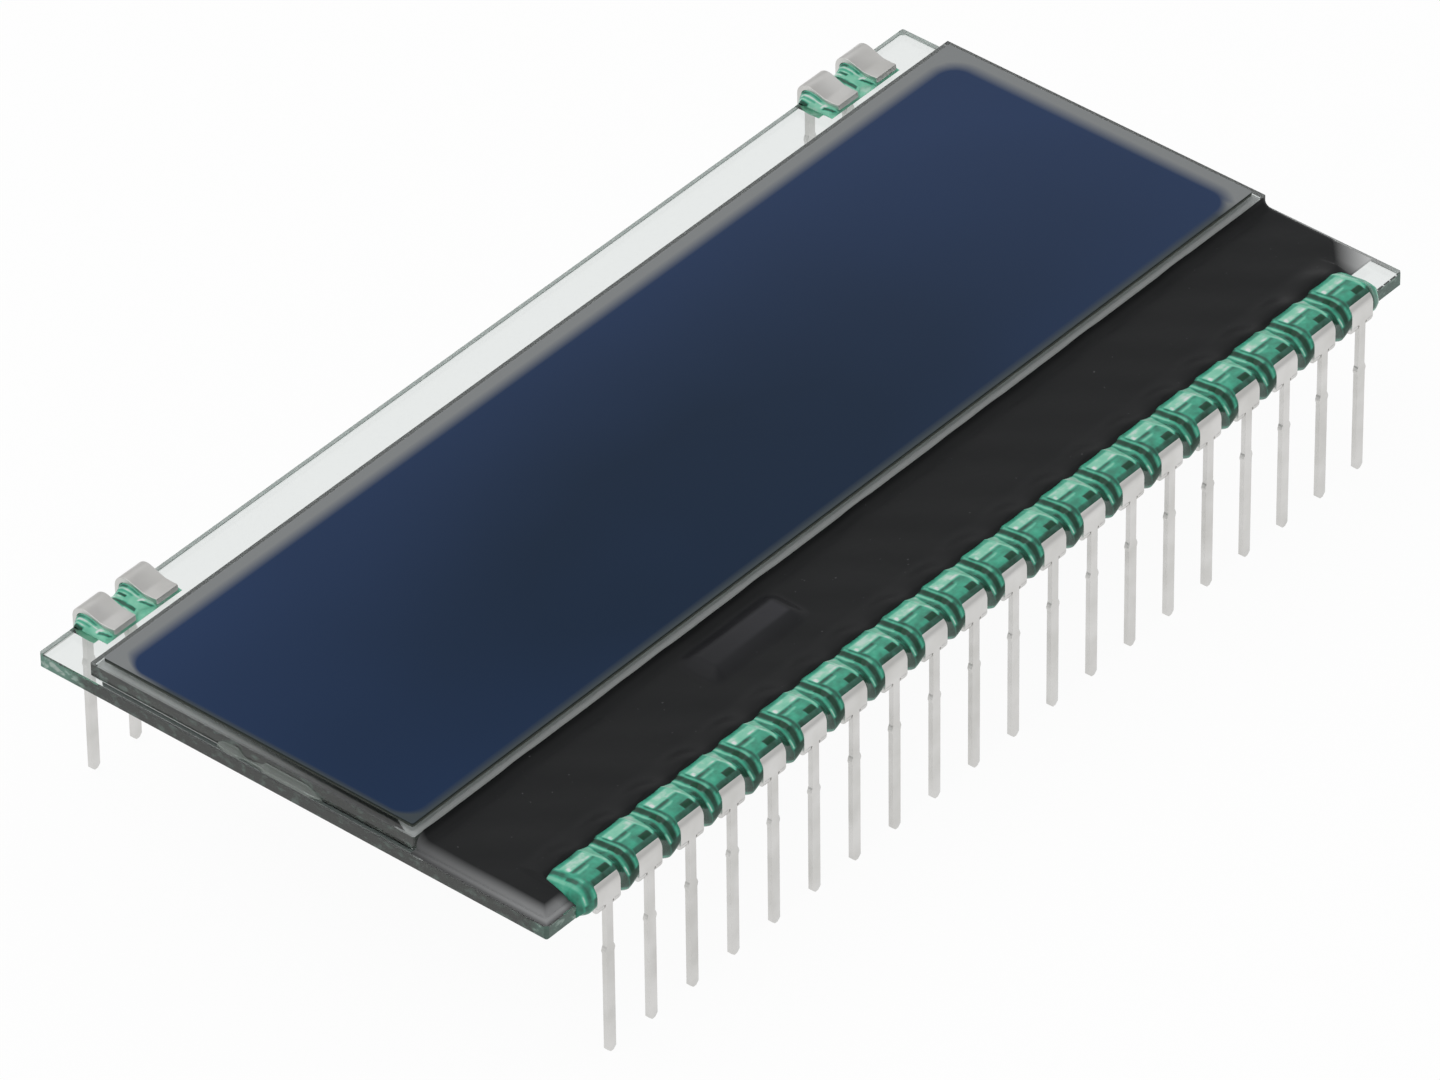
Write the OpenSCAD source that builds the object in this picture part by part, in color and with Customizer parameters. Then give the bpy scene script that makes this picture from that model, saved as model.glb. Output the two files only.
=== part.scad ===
// Chip-on-glass character display cell on clip-on terminals, in a 40-position dual in-line layout.
// X runs along the terminal rows, Y from the front row to the rear row, Z up.
// The origin is on the ground under the middle of the cell, so the terminal tips stand at Z = 0.

/* [Glass] */
// Length of the carrier glass, the lower and larger plate
glass_l = 54.8; // [52.5:0.1:60]
// Width of the carrier glass between the terminal rows
glass_w = 27; // [26:0.1:30]
// Thickness of the carrier glass
carrier_t = 0.7; // [0.5:0.05:1.1]
// Thickness of the front glass
front_t = 0.7; // [0.5:0.05:1.1]
// Contact ledge left bare by the front glass along the front row
front_ledge = 7.08; // [6.6:0.02:8]
// Contact ledge left bare by the front glass along the rear row
rear_ledge = 2.67; // [2.3:0.01:3.4]
// How far each end of the front glass stands back from the carrier
end_step = 0.22; // [0.16:0.01:0.6]
// Corners of the carrier ground off in plan
corner_cut = 0.15; // [0.1:0.05:0.6]
// Fine arris ground along the edges of both plates
arris = 0.05; // [0.02:0.01:0.1]

/* [Cell] */
// Distance between the two plates, filled with liquid crystal
cell_gap = 0.03; // [0.02:0.01:0.06]
// Seal ring set in from the edges of the front glass
seal_inset = 0.3; // [0.2:0.05:0.4]
// Edge of the liquid crystal set in from the rear edge of the front glass
window_rear = 0.75; // [0.6:0.05:1]
// Edge of the liquid crystal set in from the front edge of the front glass
window_front = 1.1; // [0.8:0.05:1.4]
// Edge of the liquid crystal set in from the ends of the front glass
window_end = 0.95; // [0.7:0.05:1.2]
// Corner radius of the liquid crystal window
window_r = 1.2; // [0.6:0.1:2]
// Width of the fill port through the left end of the seal ring
port_w = 3; // [2:0.1:4]
// Place of the fill port along Y, from the middle of the carrier
port_y = 1.2; // [0:0.1:3]
// Length of the resin plug that closes the fill port
plug_l = 5.6; // [4.5:0.1:7]

/* [Polarizers] */
// Thickness of each polarizer film
film_t = 0.2; // [0.1:0.01:0.3]
// Bare margin of glass round the front polarizer
film_margin = 0.4; // [0.2:0.05:0.6]
// Bare margin of the front glass outline round the rear polarizer
rear_film_margin = 0.3; // [0.1:0.05:0.5]

/* [Driver chip] */
// Length of the bare driver chip
chip_l = 4.6; // [4:0.1:8]
// Width of the driver chip
chip_w = 0.9; // [0.8:0.05:1.5]
// Thickness of the driver chip
chip_t = 0.4; // [0.3:0.05:0.5]
// Place of the chip along X, from the middle of the carrier
chip_x = -8.9; // [-15:0.1:15]
// Clear glass between the chip and the front glass
chip_setback = 1.25; // [0.9:0.05:1.6]
// Thickness of the conductive bonding film under the chip
bond_t = 0.03; // [0.02:0.01:0.05]
// How far the bonding film shows round the chip
bond_margin = 0.2; // [0.1:0.05:0.3]

/* [Ledge coating] */
// Thickness of the black resin over the tracks
coat_t = 0.2; // [0.15:0.01:0.35]
// Resin left over the top of the chip
coat_over_chip = 0.1; // [0.06:0.01:0.2]
// Radius of the resin fillet that climbs the edge of the front glass
coat_fillet = 0.45; // [0.25:0.05:0.48]
// Strip left bare between the resin and the ends of the carrier
coat_end = 0.15; // [0.12:0.01:0.4]
// Glass left bare between the left end of the front bead and the tongue of resin beside it
tongue_gap = 0.5; // [0.35:0.05:1]
// Glass left bare in front of that tongue
tongue_back = 0.45; // [0.35:0.05:1]
// Roll-off radius along the ends of the resin
coat_roll = 0.6; // [0.2:0.05:1]

/* [Terminals] */
// Spacing of the terminals along a row
pitch = 2.54; // [2.4:0.01:2.6]
// Terminals in the front row
front_count = 20; // [16:1:20]
// Terminals at each end of the rear row
rear_pair = 2; // [1:1:3]
// Height of the carrier glass above the terminal tips
stand_h = 7.57; // [5:0.01:10]
// Thickness of the strip metal
strip_t = 0.25; // [0.2:0.01:0.28]
// Width of the clip head
head_w = 1.4; // [1.2:0.05:1.6]
// Width of the upper finger at its toe
toe_w = 1.3; // [1:0.05:1.4]
// Width of the lead below the step
lead_w = 0.5; // [0.44:0.01:0.6]
// Width of the lead between the head and the step
neck_w = 0.42; // [0.36:0.01:0.44]
// Length of the neck, down to the step in the lead
neck_l = 1.9; // [1.4:0.1:3]
// Stub that the cut tie bar leaves on each side of the lead, at the step
stub = 0.05; // [0.02:0.01:0.08]
// Height of the tie bar
stub_h = 0.35; // [0.2:0.05:0.5]
// Chamfer on the tip of the lead
tip_cut = 0.15; // [0.05:0.01:0.2]
// Play between the edge of the glass and the head of the clip
edge_play = 0.2; // [0.12:0.01:0.3]
// Height of the arch over the carrier glass
arch_h = 0.68; // [0.62:0.01:0.8]
// Inner radius of the arch
arch_r = 0.35; // [0.3:0.01:0.36]
// Slope of the upper finger down from the arch, in degrees
finger_slope = 18; // [16:1:24]
// Inner radius of the bends where a finger turns level with the glass
contact_r = 0.4; // [0.3:0.05:0.6]
// Length of the level pad at the end of the upper finger
pad_l = 0.38; // [0.35:0.01:0.45]
// Height of the pressed contact point that holds the pad off the glass
dimple_h = 0.15; // [0.1:0.01:0.16]
// Radius of the contact point
dimple_r = 0.25; // [0.2:0.01:0.3]
// Upward flare of both toes, in degrees
toe_rise = 8; // [4:1:12]
// Length of the flared toe
toe_l = 0.22; // [0.15:0.01:0.25]
// Depth of the lower bend under the carrier glass
jaw_drop = 0.29; // [0.28:0.01:0.32]
// Inner radius of the lower bend
jaw_r = 0.18; // [0.17:0.01:0.19]
// Slope of the lower fingers up to the glass, in degrees
jaw_slope = 7; // [6:1:9]
// Length of the level pad at the end of each lower finger
jaw_pad_l = 0.3; // [0.2:0.01:0.4]
// Width over the two lower fingers at their toes
jaw_toe_w = 1.1; // [1:0.05:1.2]
// Slit between the neck and each lower finger
slit = 0.08; // [0.05:0.01:0.12]

/* [Adhesive] */
// Height of the front bead over the carrier glass
bead_h = 0.6; // [0.5:0.01:0.62]
// Height of the rear beads over the carrier glass
rear_bead_h = 0.22; // [0.18:0.01:0.3]
// Depth of the beads under the carrier glass
bead_drop = 0.4; // [0.3:0.01:0.44]
// Set-back of the beads from the outer face of the clip heads
bead_back = 0.05; // [0.02:0.01:0.1]
// Reach of the front bead past the toes of the clips
bead_reach = 0.12; // [0.1:0.01:0.2]
// Reach of the beads past the outer heads of a row
bead_end = 0.8; // [0.5:0.05:1]
// Rounding of the ends of the beads, seen from above
bead_round = 0.45; // [0.3:0.05:0.5]
// Depth of the centre of the foot's arc under the top of the carrier glass
foot_sink = 0.05; // [0.02:0.01:0.1]
// Depth of the saddle that the bead sinks to between two clips
web_sag = 0.1; // [0.06:0.01:0.16]

/* [Hidden] */
front_n = [for (i = [1:front_count]) 2 * front_count + 1 - i];
rear_n = concat([for (i = [1:rear_pair]) i], [for (i = [1:rear_pair]) front_count - rear_pair + i]);
function pin_name(n) = str(n < 10 ? "pin_0" : "pin_", n);
$fn = 64;

// Levels
carrier_z = stand_h;
deck_z = carrier_z + carrier_t;
front_z = deck_z + cell_gap;
film_z = front_z + front_t;

// Outline of the front glass
front_x = glass_l / 2 - end_step;
front_y0 = -glass_w / 2 + front_ledge;
front_y1 = glass_w / 2 - rear_ledge;
front_mid = (front_y0 + front_y1) / 2;
front_w = front_y1 - front_y0;

// Terminals: positions along X count from the left, and y is measured inwards from the edge of the glass
head_y = -edge_play - strip_t;
strip_y = -edge_play - strip_t / 2;
arch_z = deck_z + arch_h - strip_t - arch_r;
arch_mid_r = arch_r + strip_t / 2;
contact_mid_r = contact_r + strip_t / 2;
slope_top = arch_z + arch_mid_r * cos(finger_slope);
slope_foot = deck_z + dimple_h + strip_t / 2 + contact_mid_r * (1 - cos(finger_slope));
jaw_z = carrier_z - jaw_drop + strip_t + jaw_r;
jaw_mid_r = jaw_r + strip_t / 2;
jaw_top = carrier_z - strip_t / 2 - contact_mid_r * (1 - cos(jaw_slope));
jaw_foot = jaw_z - jaw_mid_r * cos(jaw_slope);
function station_x(i) = (i - (front_count - 1) / 2) * pitch;
function front_x_of(n) = station_x(n - front_count - 1);
function rear_x_of(n) = station_x(front_count - n);

// The bead is a stadium in section: a nose round the edge of the glass and a foot round the toes
pad_y = strip_y + arch_mid_r * (1 + sin(finger_slope)) + (slope_top - slope_foot) / tan(finger_slope)
    + contact_mid_r * sin(finger_slope);
toe_y = pad_y + pad_l + contact_mid_r * sin(toe_rise) + toe_l * cos(toe_rise);
bead_foot_y = toe_y + bead_reach;
bead_nose_y = head_y + bead_back;
coat_y0 = -glass_w / 2 + bead_foot_y;
bead_x = station_x(front_count - 1) + head_w / 2 + bead_end;

// Centre line of a bent strip as [y, z, heading] stations, heading 0 along +Z and 90 along +Y.
// Each step is [straight run, inner bend radius, turn], with the last turn 0.
function arc_station(p, r, turn, a) =
    let (s = sign(turn), h = p[2] + s * a)
    [p[0] + s * r * (cos(p[2]) - cos(h)), p[1] - s * r * (sin(p[2]) - sin(h)), h];
function ahead(p, run) = [p[0] + run * sin(p[2]), p[1] + run * cos(p[2]), p[2]];
function stations(p, steps, i = 0) =
    i == len(steps) ? [p] :
    let (q = ahead(p, steps[i][0]), r = steps[i][1] + strip_t / 2, turn = steps[i][2],
         n = max(1, ceil(abs(turn) / 12)))
    concat([p], [for (k = [0:n - 1]) if (turn != 0) arc_station(q, r, turn, k * abs(turn) / n)],
        stations(turn == 0 ? q : arc_station(q, r, turn, abs(turn)), steps, i + 1));
function beside(p, d) = [p[0] + d * cos(p[2]), p[1] - d * sin(p[2])];

// The strip metal of width w that follows a centre line
module formed_strip(line, w) {
    n = len(line);
    outline = concat([for (p = line) beside(p, -strip_t / 2)],
        [for (i = [n - 1:-1:0]) beside(line[i], strip_t / 2)]);
    rotate([90, 0, 90]) linear_extrude(w, center = true) polygon(outline);
}

// Upper finger and lead in one length of strip, cut to the outline of the blank, with a contact point
// pressed down under the middle of the pad
module finger_and_lead() {
    tall = deck_z + 2;
    line = stations([strip_y, 0, 0], [
        [arch_z, arch_r, 90 + finger_slope],
        [(slope_top - slope_foot) / sin(finger_slope), contact_r, -finger_slope],
        [pad_l, contact_r, -toe_rise],
        [toe_l, 0, 0]]);
    step_z = jaw_z - neck_l;
    stub_x = lead_w / 2 + stub;
    half_blank = [[0, 0], [lead_w / 2 - tip_cut, 0], [lead_w / 2, tip_cut],
        [lead_w / 2, step_z - stub_h], [stub_x, step_z - stub_h], [stub_x, step_z], [lead_w / 2, step_z],
        [neck_w / 2, step_z + lead_w - neck_w], [neck_w / 2, jaw_z], [head_w / 2, jaw_z],
        [head_w / 2, tall], [0, tall]];
    intersection() {
        formed_strip(line, 2 * head_w);
        rotate([90, 0, 0]) linear_extrude(4 * head_w, center = true)
            for (s = [0, 1]) mirror([s, 0]) polygon(half_blank);
        linear_extrude(tall) polygon([
            [-head_w / 2, head_y - 1], [head_w / 2, head_y - 1], [head_w / 2, 0],
            [toe_w / 2, toe_y], [toe_w / 2, toe_y + 1], [-toe_w / 2, toe_y + 1],
            [-toe_w / 2, toe_y], [-head_w / 2, 0]]);
    }
    translate([0, pad_y + pad_l / 2, deck_z])
        cylinder(r1 = 0.7 * dimple_r, r2 = dimple_r, h = dimple_h + strip_t / 2, $fn = 24);
}

// The two lower fingers, bent back under the glass on either side of the neck
module lower_fingers() {
    overlap = strip_t;
    reach = 3 * head_w;
    line = stations([strip_y, jaw_z + overlap, 180], [
        [overlap, jaw_r, -90 - jaw_slope],
        [(jaw_top - jaw_foot) / sin(jaw_slope), contact_r, jaw_slope],
        [jaw_pad_l, contact_r, toe_rise],
        [toe_l, 0, 0]]);
    inner = neck_w / 2 + slit;
    intersection() {
        formed_strip(line, 2 * head_w);
        linear_extrude(jaw_z + overlap) for (s = [0, 1]) mirror([s, 0]) polygon([
            [inner, head_y - 1], [head_w / 2, head_y - 1], [head_w / 2, head_y + strip_t / 2],
            [jaw_toe_w / 2, head_y + strip_t + jaw_r], [jaw_toe_w / 2, reach], [inner, reach]]);
    }
}

module terminal() {
    finger_and_lead();
    lower_fingers();
}

module at_front(n) translate([front_x_of(n), -glass_w / 2, 0]) children();
module at_rear(n) translate([rear_x_of(n), glass_w / 2, 0]) rotate(180) children();

// A plate with its corners cut in plan and a fine arris along its edges
module ground_plate(l, w, t, cut) {
    intersection() {
        linear_extrude(t) polygon([
            [-l / 2 + cut, -w / 2], [l / 2 - cut, -w / 2], [l / 2, -w / 2 + cut], [l / 2, w / 2 - cut],
            [l / 2 - cut, w / 2], [-l / 2 + cut, w / 2], [-l / 2, w / 2 - cut], [-l / 2, -w / 2 + cut]]);
        rotate([90, 0, 0]) linear_extrude(w, center = true) arris_section(l, t);
        rotate([90, 0, 90]) linear_extrude(l, center = true) arris_section(w, t);
    }
}

module arris_section(l, t) polygon([
    [-l / 2 + arris, 0], [l / 2 - arris, 0], [l / 2, arris], [l / 2, t - arris],
    [l / 2 - arris, t], [-l / 2 + arris, t], [-l / 2, t - arris], [-l / 2, arris]]);

module carrier_glass() color([0.82, 0.92, 0.88, 0.5])
    translate([0, 0, carrier_z]) ground_plate(glass_l, glass_w, carrier_t, corner_cut);

module front_glass() color([0.8, 0.9, 0.88, 0.4])
    translate([0, front_mid, front_z]) ground_plate(2 * front_x, front_w, front_t, arris);

// Outline of the liquid crystal with its rounded corners
module window_outline() {
    x = front_x - window_end;
    y0 = front_y0 + window_front;
    y1 = front_y1 - window_rear;
    arc = [for (a = [0:10:90]) window_r * [1 - cos(a), 1 - sin(a)]];
    corner = function (cx, cy, sx, sy) [for (p = arc) [cx - sx * p[0], cy - sy * p[1]]];
    back = function (pts) [for (i = [len(pts) - 1:-1:0]) pts[i]];
    polygon(concat(corner(x, y1, 1, 1), back(corner(-x, y1, -1, 1)),
        corner(-x, y0, -1, -1), back(corner(x, y0, 1, -1))));
}

// The fill port, from the window out to the end of the front glass
module port_outline() translate([-front_x, port_y - port_w / 2])
    square([window_end + window_r, port_w]);

module perimeter_seal() color([0.55, 0.56, 0.53]) translate([0, 0, deck_z]) linear_extrude(cell_gap)
    difference() {
        translate([-front_x + seal_inset, front_y0 + seal_inset])
            square([2 * (front_x - seal_inset), front_w - 2 * seal_inset]);
        window_outline();
        port_outline();
    }

module liquid_crystal() color([0.15, 0.2, 0.3]) translate([0, 0, deck_z]) linear_extrude(cell_gap) {
    window_outline();
    translate([seal_inset, 0]) intersection() {
        port_outline();
        translate([-front_x, -glass_w]) square([window_end + window_r / 2, 2 * glass_w]);
    }
}

// Resin drawn into the fill port, with a fillet on the step at the ends of the plates
module end_seal() color([0.62, 0.63, 0.6]) {
    fillet_h = cell_gap + 0.6 * front_t;
    translate([-front_x, port_y - port_w / 2, deck_z]) cube([seal_inset, port_w, cell_gap]);
    intersection() {
        translate([-front_x, port_y + plug_l / 2, deck_z]) rotate([90, 0, 0])
            linear_extrude(plug_l) polygon(concat([[0, 0]],
                [for (a = [0:10:90]) [-(end_step - arris) * cos(a), fillet_h * sin(a)]]));
        translate([-front_x, port_y, deck_z]) rotate([0, -90, 0]) linear_extrude(end_step)
            polygon([for (a = [0:10:180]) [fillet_h * 1.2 * sin(a), plug_l / 2 * cos(a)]]);
    }
}

module front_polarizer() color([0.2, 0.24, 0.28, 0.6])
    translate([-front_x + film_margin, front_y0 + film_margin, film_z])
        cube([2 * (front_x - film_margin), front_w - 2 * film_margin, film_t]);

module rear_polarizer() color([0.25, 0.27, 0.27])
    translate([-front_x + rear_film_margin, front_y0 + rear_film_margin, carrier_z - film_t])
        cube([2 * (front_x - rear_film_margin), front_w - 2 * rear_film_margin, film_t]);

// The chip lies on its bonding film behind the front glass
chip_y = front_y0 - chip_setback - chip_w / 2;
module chip_block(grow, z, h) translate([chip_x - chip_l / 2 - grow, chip_y - chip_w / 2 - grow, z])
    cube([chip_l + 2 * grow, chip_w + 2 * grow, h]);

module chip_bond_film() color([0.7, 0.66, 0.5]) chip_block(bond_margin, deck_z, bond_t);

module driver_chip() color([0.45, 0.46, 0.5]) chip_block(0, deck_z + bond_t, chip_t);

// Black resin from the edge of the front glass to the bead over the front clips
module ledge_coating() color([0.13, 0.13, 0.14]) {
    mound_h = bond_t + chip_t + coat_over_chip;
    x1 = glass_l / 2 - coat_end;
    r = coat_fillet;
    tongue_y = -glass_w / 2 + tongue_back;
    tongue_x = -bead_x - tongue_gap;
    section = concat([[tongue_y, 0], [tongue_y + coat_t / 2, coat_t]],
        [for (a = [0:10:90]) [front_y0 - r + r * sin(a), coat_t + r - r * cos(a)]], [[front_y0, 0]]);
    roll = concat([[-x1, 0]], [for (a = [0:10:90]) [-x1 + coat_roll * (1 - cos(a)), 2 * front_t * sin(a)]],
        [for (a = [90:-10:0]) [x1 - coat_roll * (1 - cos(a)), 2 * front_t * sin(a)]], [[x1, 0]]);
    difference() {
        union() {
            translate([0, 0, deck_z]) intersection() {
                rotate([90, 0, 90]) linear_extrude(2 * x1, center = true) polygon(section);
                rotate([90, 0, 0]) linear_extrude(2 * glass_w, center = true) polygon(roll);
                linear_extrude(2 * front_t) polygon(concat(
                    tongue_x > -x1 ? [[-x1, tongue_y], [tongue_x, tongue_y], [tongue_x, coat_y0]]
                        : [[-x1, coat_y0]],
                    [[bead_x, coat_y0], [x1, coat_y0 + (x1 - bead_x)], [x1, front_y0], [-x1, front_y0]]));
            }
            translate([chip_x, chip_y, deck_z]) intersection() {
                rotate([90, 0, 0]) linear_extrude(2 * chip_w, center = true)
                    mound(chip_l / 2 + coat_over_chip, mound_h);
                rotate([90, 0, 90]) linear_extrude(2 * chip_l, center = true)
                    mound(chip_w / 2 + coat_over_chip, mound_h);
            }
        }
        chip_block(bond_margin, deck_z - bond_t, 2 * bond_t);
        chip_block(0, deck_z, bond_t + chip_t);
    }
}

// Half section of the mound over the chip: steep sides with rounded shoulders
module mound(half, h) {
    r = coat_over_chip;
    polygon(concat([[-half - h / 3, 0]], [for (a = [0:15:90]) [-half + r * (1 - cos(a)), h - r + r * sin(a)]],
        [for (a = [90:-15:0]) [half - r * (1 - cos(a)), h - r + r * sin(a)]], [[half + h / 3, 0]]));
}

// Resin bead along clips whose heads lie between x0 and x1, in clip coordinates.
// Its section is a nose round the edge of the glass, a flat top and a foot past the toes.
module bead(x0, x1, h, gaps, clips) {
    nose_r = (h + carrier_t + bead_drop) / 2;
    nose = [bead_nose_y + nose_r, deck_z + h - nose_r];
    foot_r = h + foot_sink;
    foot = [bead_foot_y - sqrt(foot_r * foot_r - foot_sink * foot_sink), deck_z - foot_sink];
    difference() {
        intersection() {
            rotate([90, 0, 90]) translate([0, 0, x0]) linear_extrude(x1 - x0)
                polygon(concat([for (a = [90:22.5:270]) nose + nose_r * [cos(a), sin(a)]],
                    [for (a = [-90:15:90]) foot + foot_r * [cos(a), sin(a)]]));
            linear_extrude(deck_z + 2) rounded(x0, x1, bead_nose_y, bead_foot_y, bead_round);
        }
        for (x = gaps, a = [90, 135, 180]) translate([x, nose[0], nose[1]]) saddle_cut(a, nose_r);
        translate([x0 - 1, 0, carrier_z]) cube([x1 - x0 + 2, glass_w, carrier_t]);
        for (x = clips) translate([x, 0, 0]) terminal();
    }
}

// Cylinder across the bead that sinks its surface between two clips, at the angle a round the nose
module saddle_cut(a, nose_r) {
    half_gap = (pitch - head_w) / 2;
    r = (half_gap * half_gap + web_sag * web_sag) / (2 * web_sag);
    rotate([a, 0, 0]) translate([0, nose_r - web_sag + r, 0]) cylinder(r = r, h = 2 * glass_w / 3, center = true, $fn = 36);
}

// Rectangle with rounded corners from its two corners
module rounded(x0, x1, y0, y1, r) polygon(concat(
    [for (a = [180:15:270]) [x0 + r + r * cos(a), y0 + r + r * sin(a)]],
    [for (a = [270:15:360]) [x1 - r + r * cos(a), y0 + r + r * sin(a)]],
    [for (a = [0:15:90]) [x1 - r + r * cos(a), y1 - r + r * sin(a)]],
    [for (a = [90:15:180]) [x0 + r + r * cos(a), y1 - r + r * sin(a)]]));

module front_adhesive() color([0.25, 0.62, 0.5]) translate([0, -glass_w / 2, 0])
    bead(-bead_x, bead_x, bead_h,
        [for (i = [0:front_count - 2]) station_x(i + 0.5)], [for (i = [0:front_count - 1]) station_x(i)]);

// One bead joins the clips at each end of the rear row
module rear_adhesive(left) color([0.25, 0.62, 0.5]) translate([0, glass_w / 2, 0]) rotate(180) {
    start = left ? front_count - rear_pair : 0;
    bead(station_x(start) - head_w / 2 - bead_end, station_x(start + rear_pair - 1) + head_w / 2 + bead_end,
        rear_bead_h, [for (i = [1:1:rear_pair - 1]) station_x(start + i - 0.5)],
        [for (i = [0:rear_pair - 1]) station_x(start + i)]);
}

module pin() color([0.8, 0.8, 0.77]) terminal();

carrier_glass();
front_glass();
perimeter_seal();
liquid_crystal();
end_seal();
front_polarizer();
rear_polarizer();
driver_chip();
chip_bond_film();
ledge_coating();
front_adhesive();
rear_adhesive(true);  // rear_adhesive_left
rear_adhesive(false);  // rear_adhesive_right
for (n = rear_n) at_rear(n) pin();
for (n = front_n) at_front(n) pin();
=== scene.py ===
import math

import bmesh
import bpy
import numpy as np
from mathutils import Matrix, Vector


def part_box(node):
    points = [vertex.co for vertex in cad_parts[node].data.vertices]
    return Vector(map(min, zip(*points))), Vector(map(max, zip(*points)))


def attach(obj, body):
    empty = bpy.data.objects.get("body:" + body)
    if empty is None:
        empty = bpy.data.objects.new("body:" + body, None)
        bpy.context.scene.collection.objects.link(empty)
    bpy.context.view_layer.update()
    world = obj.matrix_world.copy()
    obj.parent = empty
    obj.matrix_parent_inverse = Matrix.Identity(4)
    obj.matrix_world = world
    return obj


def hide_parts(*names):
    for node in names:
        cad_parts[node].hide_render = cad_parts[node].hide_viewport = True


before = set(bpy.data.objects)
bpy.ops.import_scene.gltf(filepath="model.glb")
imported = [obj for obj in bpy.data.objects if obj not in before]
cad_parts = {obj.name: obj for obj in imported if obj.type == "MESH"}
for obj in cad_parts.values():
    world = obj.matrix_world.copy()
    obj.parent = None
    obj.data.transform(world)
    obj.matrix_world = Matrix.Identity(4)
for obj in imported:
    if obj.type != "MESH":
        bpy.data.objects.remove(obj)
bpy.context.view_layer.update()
mm = 0.001


def boxOf(node):
    # Lowest and highest corner of a solid, in millimetres
    return [[c / mm for c in corner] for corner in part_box(node)]


# Places that every piece shares, read from the solids, in millimetres
low, high = boxOf("carrier_glass")
carrier = {"y": high[1], "under": low[2], "deck": high[2]}
low, high = boxOf("front_glass")
front = {"x": high[0], "y0": low[1], "y1": high[1], "under": low[2], "top": high[2]}
deck = carrier["deck"]
contact = 0.006  # how far a film is let into the glass it is laminated to, so no air shows between them
pitch = 2.54  # from one terminal to the next


def hexColour(code):
    # sRGB hex to linear light
    parts = [int(code[i:i + 2], 16) / 255 for i in (1, 3, 5)]
    return tuple(c / 12.92 if c <= 0.04045 else ((c + 0.055) / 1.055) ** 2.4 for c in parts) + (1.0,)


def addNode(tree, kind, settings=(), output=0):
    # Adds one node and gives one of its outputs. A setting goes to the input of that name or number, or else
    # to the property, and a list sets the first inputs in turn. An output is linked, a hex code turns into a
    # colour, and stops fill a colour ramp. A MapRange list is a value and its range, then the new range
    # where that is not 0 to 1
    node = tree.nodes.new("ShaderNode" + kind)
    if not isinstance(settings, dict):
        settings = dict(enumerate(settings))
    for key, value in settings.items():
        if key == "stops":
            stops = node.color_ramp.elements
            while len(stops) < len(value):
                stops.new(0.5)
            for stop, (position, colour) in zip(stops, value):
                stop.position = position
                stop.color = hexColour(colour) if isinstance(colour, str) else (colour, colour, colour, 1)
        elif isinstance(value, bpy.types.NodeSocket):
            tree.links.new(value, node.inputs[key])
        elif isinstance(key, int) or key in node.inputs:
            node.inputs[key].default_value = hexColour(value) if isinstance(value, str) else value
        else:
            setattr(node, key, value)
    return node.outputs[output] if len(node.outputs) else node


def newMaterial(name):
    material = bpy.data.materials.new(name)
    material.use_nodes = True
    tree = material.node_tree
    tree.nodes.clear()
    output = addNode(tree, "OutputMaterial")
    place = addNode(tree, "TexCoord", [], "Object")
    return material, tree, output, place


def lampsPass(tree, output, shader, tint):
    # Lamps reach what lies behind the glass: their rays see a plain tinted pane
    shadow = addNode(tree, "LightPath", [], "Is Shadow Ray")
    pane = addNode(tree, "BsdfTransparent", {"Color": tint})
    mix = addNode(tree, "MixShader", {0: shadow, 1: shader, 2: pane})
    tree.links.new(mix, output.inputs["Surface"])


def makePiece(name, grids, material, replaced, sharpDegrees=35, shade=None):
    # Each grid is an array of points, rows by ring, in millimetres. A ring closes on itself, and the
    # first and last rings are filled in. A shade is one number a point, for the material to read.
    points, faces, start = [], [], 0
    for grid in grids:
        rows, ring = grid.shape[:2]
        index = start + np.arange(rows * ring).reshape(rows, ring)
        along = np.roll(index, -1, axis=1)
        quads = np.stack([index[:-1], along[:-1], along[1:], index[1:]], axis=-1).reshape(-1, 4)
        faces += quads.tolist() + [index[0][::-1].tolist(), index[-1].tolist()]
        points.append(grid.reshape(-1, 3))
        start += rows * ring
    mesh = bpy.data.meshes.new(name)
    mesh.from_pydata((np.concatenate(points) * mm).tolist(), [], faces)
    if shade is not None:
        carried = mesh.attributes.new("shade", "FLOAT", "POINT")
        carried.data.foreach_set("value", shade.ravel().astype(np.float32))
    tidy = bmesh.new()
    tidy.from_mesh(mesh)
    bmesh.ops.remove_doubles(tidy, verts=tidy.verts, dist=1e-7)
    bmesh.ops.recalc_face_normals(tidy, faces=tidy.faces)
    tidy.to_mesh(mesh)
    tidy.free()
    mesh.polygons.foreach_set("use_smooth", np.ones(len(mesh.polygons), bool))
    mesh.set_sharp_from_angle(angle=math.radians(sharpDegrees))
    piece = bpy.data.objects.new(name, mesh)
    bpy.context.scene.collection.objects.link(piece)
    mesh.materials.append(material)
    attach(piece, "root")
    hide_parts(*replaced)


def smoothStep(value, start, end):
    # 0 up to start and 1 from end on, with an S curve between: 3 t squared less 2 t cubed
    t = np.clip((value - start) / (end - start), 0, 1)
    return t * t * (3 - 2 * t)


# Soda-lime sheet glass, floated, then scribed and snapped: clear faces. Its edges are painted: dark, with a
# green cast near the corners of the plate, painted glints where the snap left chips, and painted light on
# the rear and right edges
glass = {"tint": "#E9ECEB", "pane": "#F0F4F2", "edgeDark": "#3E413E", "edgeGreen": "#6F9C8C",
         "chipGlint": "#B9CEC4", "rearEdgeLight": "#BFC4C2", "chipMm": 0.5, "chipRelief": 0.02,
         "edgeRoughness": 0.12, "edgeClear": 0.25}


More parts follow.
